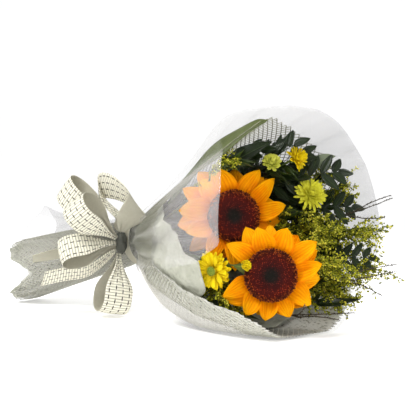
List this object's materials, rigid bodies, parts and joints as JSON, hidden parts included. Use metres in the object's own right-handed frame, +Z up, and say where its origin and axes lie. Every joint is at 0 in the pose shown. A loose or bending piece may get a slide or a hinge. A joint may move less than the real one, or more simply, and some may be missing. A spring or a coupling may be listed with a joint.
{
  "type": "bouquet",
  "caption": "Hand-tied bouquet lying on its side: sunflowers, yellow chrysanthemums, goldenrod, fronds and twigs, rolled in paper, net and clear film, tied with a ribbon bow.",
  "frame": {"origin": "centre of the bounding box's underside, on the surface the bouquet lies on", "axes": "+X from the cut stem ends towards the mouth of the wrap, the longest extent; +Z up; -Y is the side with the bow and the folded-back front of the wrap"},
  "size_m": [0.605, 0.272, 0.273],
  "materials": {
    "clear_film": "clear, smooth, slightly crinkled plastic film",
    "sage_net": "open net of thin woven strands, matt",
    "sage_paper": "thin crumpled florist's paper, matt",
    "woven_ribbon": "stiff woven ribbon with fine lines",
    "sunflower_petal": "soft velvety petal with fine grooves",
    "sunflower_disc": "bristly dark florets",
    "lemon_petal": "soft petal",
    "yellow_petal": "soft petal",
    "lime_petal": "soft, half-open petal",
    "green_stem": "fresh green stem, faintly ribbed",
    "goldenrod": "fluffy tiny florets",
    "dark_frond": "glossy dark leaf",
    "olive_leaf": "broad leaf, half matt",
    "grey_leaf": "dull grey-green leaf",
    "dark_twig": "fine dark bark",
    "dark_tie": "thin dark band"
  },
  "bodies": {
    "root": {"film_wrap": "clear_film", "frond_1": "dark_frond", "frond_2": "dark_frond", "frond_3": "dark_frond", "frond_4": "dark_frond", "goldenrod_1": "goldenrod", "goldenrod_10": "goldenrod", "goldenrod_2": "goldenrod", "goldenrod_3": "goldenrod", "goldenrod_4": "goldenrod", "goldenrod_5": "goldenrod", "goldenrod_6": "goldenrod", "goldenrod_7": "goldenrod", "goldenrod_8": "goldenrod", "goldenrod_9": "goldenrod", "leaf_grey": "grey_leaf", "leaf_narrow": "dark_frond", "leaf_olive_1": "olive_leaf", "leaf_olive_2": "olive_leaf", "mum_1_bloom": "yellow_petal", "mum_1_centre": "lime_petal", "mum_1_stem": "green_stem", "mum_2_bloom": "yellow_petal", "mum_2_stem": "green_stem", "mum_3_bloom": "lime_petal", "mum_3_stem": "green_stem", "mum_4_bloom": "yellow_petal", "mum_4_stem": "green_stem", "mum_5_bloom": "lemon_petal", "mum_5_stem": "green_stem", "net_wrap": "sage_net", "paper_wrap": "sage_paper", "ribbon_band": "woven_ribbon", "ribbon_knot": "woven_ribbon", "ribbon_loop_1": "woven_ribbon", "ribbon_loop_2": "woven_ribbon", "ribbon_loop_3": "woven_ribbon", "ribbon_loop_4": "woven_ribbon", "ribbon_loop_5": "woven_ribbon", "ribbon_tail_1": "woven_ribbon", "ribbon_tail_2": "woven_ribbon", "stem_tie": "dark_tie", "sunflower_1_disc": "sunflower_disc", "sunflower_1_petals": "sunflower_petal", "sunflower_1_stem": "green_stem", "sunflower_2_disc": "sunflower_disc", "sunflower_2_petals": "sunflower_petal", "sunflower_2_stem": "green_stem", "twig_1": "dark_twig", "twig_2": "dark_twig", "twig_3": "dark_twig"}
  },
  "joints": []
}
